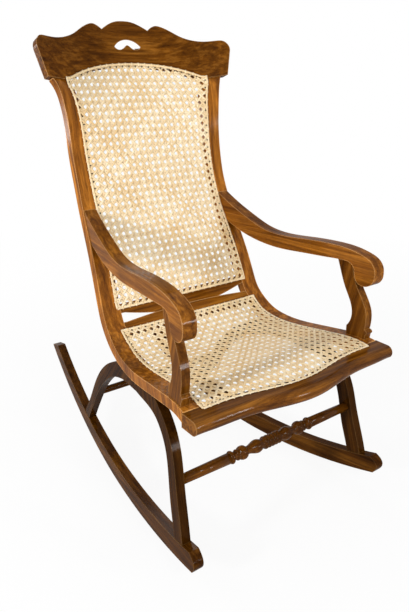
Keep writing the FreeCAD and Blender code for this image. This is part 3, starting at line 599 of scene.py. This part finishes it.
class Strips:
    """Gathers flat strips of cane into one mesh."""

    section = ((-0.5, 0.1), (-0.28, 0.9), (0.28, 0.9), (0.5, 0.1), (0.0, -0.1))

    def __init__(self):
        self.points, self.faces = [], []

    def lay(self, track, width, thick):
        """Lays one strip along a track of points and the ways the face looks there."""
        if len(track) < 2:
            return
        start, corners = len(self.points), len(self.section)
        for number, (point, normal) in enumerate(track):
            before = track[max(number - 1, 0)][0]
            after = track[min(number + 1, len(track) - 1)][0]
            side = (after - before).cross(normal).normalized()
            for across, up in self.section:
                self.points.append(point + side * (across * width) + normal * (up * thick))
        for ring in range(len(track) - 1):
            for corner in range(corners):
                here = start + ring * corners + corner
                beside = start + ring * corners + (corner + 1) % corners
                self.faces.append((here, beside, beside + corners, here + corners))
        self.faces.append(tuple(range(start, start + corners))[::-1])
        self.faces.append(tuple(range(len(self.points) - corners, len(self.points))))

    def spot(self, point, normal, along, radius):
        """Adds one small round patch lying on the face."""
        across = along.cross(normal).normalized()
        start = len(self.points)
        for side in range(hole_shade_sides):
            angle = 2 * math.pi * side / hole_shade_sides
            spoke = along * (radius * math.cos(angle)) + across * (radius * math.sin(angle))
            self.points.append(point + spoke)
        self.points.append(point - normal * (radius / 2))
        self.faces.append(tuple(range(start, start + hole_shade_sides)))
        for side in range(hole_shade_sides):
            self.faces.append((start + (side + 1) % hole_shade_sides, start + side, start + hole_shade_sides))

    def piece(self, name, material, slot):
        mesh = bpy.data.meshes.new(name)
        mesh.from_pydata(self.points, [], self.faces)
        mesh.materials.append(material)
        mesh.polygons.foreach_set("use_smooth", [True] * len(mesh.polygons))
        made = bpy.data.objects.new(name, mesh)
        scene.collection.objects.link(made)
        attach(made, "root")
        return made


def weave(panel, name, material):
    """Six-way weave over a panel, each strand going over and under as it crosses the others."""
    strips = Strips()
    origin = panel.length(panel.first(0.0)) - hole_margin
    rows = int((panel.lengths[-1] - origin) / cane_pitch) + 2
    widest = max(panel.half(panel.low), panel.half(panel.high)) + hole_margin
    columns = int(widest / cane_pitch) + 2
    turn = 2 * math.pi / cane_pitch

    def run(path, height, width):
        for track in panel.stretches(path):
            laid = []
            for number, (x, level, length) in enumerate(track):
                point, normal = panel.face(x, level)
                nearest_end = min(number, len(track) - 1 - number)
                ease = min(1.0, (nearest_end + end_share) / end_steps)
                laid.append((point + normal * (height(length) * ease + face_lift), normal))
            strips.lay(laid, width, strand_thick)

    length_count = int((rows + 1) * cane_pitch / sample_step)
    lengths = [origin - cane_pitch + number * sample_step for number in range(length_count)]
    for column in range(-columns, columns):
        for member in (-1, 1):
            x = (column + 0.5) * cane_pitch + member * pair_gap
            height = strand_height + pair_lift * member
            run([(x, length) for length in lengths], lambda length: height, strand_width)
    place_count = int(2 * widest / sample_step) + 1
    places = [-widest + number * sample_step for number in range(place_count)]
    for row in range(rows):
        for member in (-1, 1):
            length = origin + row * cane_pitch + member * pair_gap
            run([(x, length) for x in places], lambda length: strand_height, strand_width)
    for slope in (1, -1):
        def slant(length):
            return slant_height + slant_swing * slope * math.cos(turn * (length - origin))

        for strand in range(-columns - rows, columns + rows):
            start = strand * cane_pitch
            run([(slope * (start + length - origin), length) for length in lengths], slant, slant_width)
    return strips.piece(name, material, "cane")


def rim(panel, outside):
    """The four sides of a line round the opening, each as places across and along."""
    tracks = []
    first_half = panel.half(panel.low) + outside
    last_half = panel.half(panel.high) + outside
    bottom, top = panel.first(first_half) - outside, panel.last(last_half) + outside
    for side in (-1, 1):
        levels = [float(level) for level in numpy.arange(bottom, top + sample_step, sample_step)]
        tracks.append([(side * (panel.half(level) + outside), level) for level in levels])
    for half, end, way in ((first_half, panel.first, -1), (last_half, panel.last, 1)):
        places = [float(x) for x in numpy.arange(-half, half + sample_step, sample_step)]
        tracks.append([(x, end(x) + way * outside) for x in places])
    return tracks


def bind(panel, name, cane, dark):
    """Binding strip with a stitch at every hole, and small dark patches beside it as painted shade in the
    holes.
    """
    strips, hole_shade_spots = Strips(), Strips()
    middle = panel.face(0.0, panel.centre)[0]
    step = cane_pitch / sample_step
    for side in rim(panel, hole_margin):
        track = [panel.face(x, level) for x, level in side]
        lifted = [(point + normal * binder_lift, normal) for point, normal in track]
        strips.lay(lifted, binder_width, binder_thick)
        for hole in range(1, int(len(track) / step)):
            place = min(int(hole * step), len(track) - 2)
            point, normal = track[place]
            along = (track[place + 1][0] - track[place - 1][0]).normalized()
            inward = along.cross(normal).normalized()
            inward = inward if inward.dot(middle - point) > 0 else -inward
            stitch = []
            for share in stitch_shares:
                height = stitch_crown - stitch_fall * share * share
                stitch.append((point + inward * (stitch_reach * share) + normal * height, normal))
            strips.lay(stitch, stitch_width, strand_thick)
            # Painted shade in the holes: a dark patch just inside the binding between two stitches, and a
            # smaller one just outside it.
            between = min(int((hole + 0.5) * step), len(track) - 2)
            point, normal = track[between]
            hole_shade_spots.spot(point + inward * hole_shade_inset + normal * hole_shade_lift, normal, along, hole_shade_radius)
            outer = point - inward * (binder_width / 2) + normal * outer_hole_shade_lift
            hole_shade_spots.spot(outer, normal, along, hole_shade_radius / 2)
    strips.piece(name, cane, "cane")
    hole_shade_spots.piece(name + "_shade_patches", dark, "frame_wood")


# Painted hole shade: a near-black brown, broken by fine noise, for the patches that stand for the shade in
# the holes.
hole_scale, hole_detail = 900, 3
hole_shade_stops = ((0.35, (0.008, 0.004, 0.002)), (0.65, (0.045, 0.022, 0.009)))
hole_smoothest, hole_roughest = 0.8, 0.95
hole_emboss, hole_depth = 0.3, 0.0003
painted_hole_shade, hole_tree, hole_shader = new_material("painted_hole_shade")
hole_spot = hole_tree.nodes.new("ShaderNodeTexCoord")
hole_noise = noise(hole_tree, hole_spot.outputs["Object"], hole_scale, hole_detail)
hole_tree.links.new(ramp(hole_tree, hole_noise, *hole_shade_stops), hole_shader.inputs["Base Color"])
roughen(hole_tree, hole_shader, hole_noise, hole_smoothest, hole_roughest)
emboss(hole_tree, hole_shader, hole_noise, hole_emboss, hole_depth)

back_middle = 0.72
cane_straw = split_cane("cane_straw")
back_panel = Panel("back_cane", "back_rail", "crest_rail", back_middle, True)
back_weave = weave(back_panel, "back_weave", cane_straw)
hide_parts("back_cane")
bind(back_panel, "back_binding", cane_straw, painted_hole_shade)

# Seat cane: the same six-way weave over the dished seat opening, bound along its edge.
# It is strained between the seat sides and the front and rear seat rails.
seat_middle = -0.25
seat_panel = Panel("seat_cane", "seat_front_rail", "seat_back_rail", seat_middle, False)
seat_weave = weave(seat_panel, "seat_weave", cane_straw)
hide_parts("seat_cane")
bind(seat_panel, "seat_binding", cane_straw, painted_hole_shade)

# Studio: a white floor that keeps the chair's shadow under a white surround, and soft lamps
# from the front, both sides and behind. The camera stands at the sitter's right, above the seat.
floor_half = 14
floor_grey = (0.80, 0.80, 0.80, 1)
floor_roughness = 0.8
plain_white = (1, 1, 1, 1)
# The floor is seen as white with a share of its own shading, which fades out away from the chair.
white_share_near, white_share_far = 0.90, 1.0
fade_start, fade_end = 0.5, 2.5
surround_colour = (0.97, 0.98, 1.0, 1)
surround_light = 0.46


def seen_directly(tree):
    """One for camera, glossy and transmitted rays, nought for the light on surfaces."""
    path = tree.nodes.new("ShaderNodeLightPath")
    value = path.outputs["Is Camera Ray"]
    for other in ("Is Glossy Ray", "Is Transmission Ray"):
        either = tree.nodes.new("ShaderNodeMath")
        either.operation = "MAXIMUM"
        tree.links.new(value, either.inputs[0])
        tree.links.new(path.outputs[other], either.inputs[1])
        value = either.outputs["Value"]
    return value


floor_mesh = bpy.data.meshes.new("studio_floor")
floor_corners = [(x * floor_half, y * floor_half, 0) for x, y in ((-1, -1), (1, -1), (1, 1), (-1, 1))]
floor_mesh.from_pydata(floor_corners, [], [(0, 1, 2, 3)])
studio_floor = bpy.data.objects.new("studio_floor", floor_mesh)
scene.collection.objects.link(studio_floor)
floor_paint, floor_tree, floor_shader = new_material("floor_paint")
floor_mesh.materials.append(floor_paint)
floor_shader.inputs["Base Color"].default_value = floor_grey
floor_shader.inputs["Roughness"].default_value = floor_roughness
floor_white = floor_tree.nodes.new("ShaderNodeEmission")
floor_white.inputs["Color"].default_value = plain_white
floor_spot = floor_tree.nodes.new("ShaderNodeTexCoord")
floor_reach = floor_tree.nodes.new("ShaderNodeVectorMath")
floor_reach.operation = "LENGTH"
floor_tree.links.new(floor_spot.outputs["Object"], floor_reach.inputs[0])
floor_fade = floor_tree.nodes.new("ShaderNodeMapRange")
floor_fade.inputs["From Min"].default_value = fade_start
floor_fade.inputs["From Max"].default_value = fade_end
floor_fade.inputs["To Min"].default_value = white_share_near
floor_fade.inputs["To Max"].default_value = white_share_far
floor_tree.links.new(floor_reach.outputs["Value"], floor_fade.inputs["Value"])
floor_seen = floor_tree.nodes.new("ShaderNodeMath")
floor_seen.operation = "MULTIPLY"
floor_tree.links.new(seen_directly(floor_tree), floor_seen.inputs[0])
floor_tree.links.new(floor_fade.outputs["Result"], floor_seen.inputs[1])
floor_mix = floor_tree.nodes.new("ShaderNodeMixShader")
floor_tree.links.new(floor_seen.outputs["Value"], floor_mix.inputs["Fac"])
floor_tree.links.new(floor_shader.outputs["BSDF"], floor_mix.inputs[1])
floor_tree.links.new(floor_white.outputs["Emission"], floor_mix.inputs[2])
floor_tree.links.new(floor_mix.outputs["Shader"], floor_tree.nodes["Material Output"].inputs["Surface"])

world = bpy.data.worlds.new("studio_surround")
scene.world = world
world.use_nodes = True
world_tree = world.node_tree
world_light = world_tree.nodes["Background"]
world_light.inputs["Color"].default_value = surround_colour
world_light.inputs["Strength"].default_value = surround_light
world_white = world_tree.nodes.new("ShaderNodeBackground")
world_white.inputs["Color"].default_value = plain_white
world_white.inputs["Strength"].default_value = 1.0
world_mix = world_tree.nodes.new("ShaderNodeMixShader")
world_tree.links.new(seen_directly(world_tree), world_mix.inputs["Fac"])
world_tree.links.new(world_light.outputs["Background"], world_mix.inputs[1])
world_tree.links.new(world_white.outputs["Background"], world_mix.inputs[2])
world_tree.links.new(world_mix.outputs["Shader"], world_tree.nodes["World Output"].inputs["Surface"])

# The lamps: place, aim, size and power of each.
chair_middle = (0, 0, 0.5)
near_post = (-0.2, 0.2, 0.8)
lamps = {
    "front_softbox": ((-0.4, -2.8, 2.2), chair_middle, 0.46, 32),
    "right_softbox": ((1.0, -2.5, 0.9), chair_middle, 0.40, 17),
    "left_softbox": ((-2.4, -0.5, 1.1), chair_middle, 0.34, 40),
    "rear_softbox": ((0.8, 2.4, 1.0), chair_middle, 0.9, 12),
    "window_side_softbox": ((-0.95, 2.1, 0.85), near_post, 0.55, 13),
}
for name, (place, aim, size, power) in lamps.items():
    light = bpy.data.lights.new(name, "AREA")
    light.size = size
    light.energy = power
    lamp = bpy.data.objects.new(name, light)
    scene.collection.objects.link(lamp)
    lamp.location = place
    lamp.rotation_euler = (Vector(aim) - Vector(place)).to_track_quat("-Z", "Y").to_euler()

camera_place = (-0.7935, -1.1866, 0.9638)
camera_tilt, camera_turn = 21.37, 36.09
sensor_height = 36.0
focal_pixels, photo_height_pixels = 606.0, 612.0
camera_data = bpy.data.cameras.new("photo_camera")
camera_data.sensor_fit = "VERTICAL"
camera_data.sensor_height = sensor_height
camera_data.lens = sensor_height * focal_pixels / photo_height_pixels
camera = bpy.data.objects.new("photo_camera", camera_data)
scene.collection.objects.link(camera)
camera.location = camera_place
camera.rotation_euler = (math.radians(90 - camera_tilt), 0, math.radians(-camera_turn))
scene.camera = camera
scene.view_settings.view_transform = "Standard"
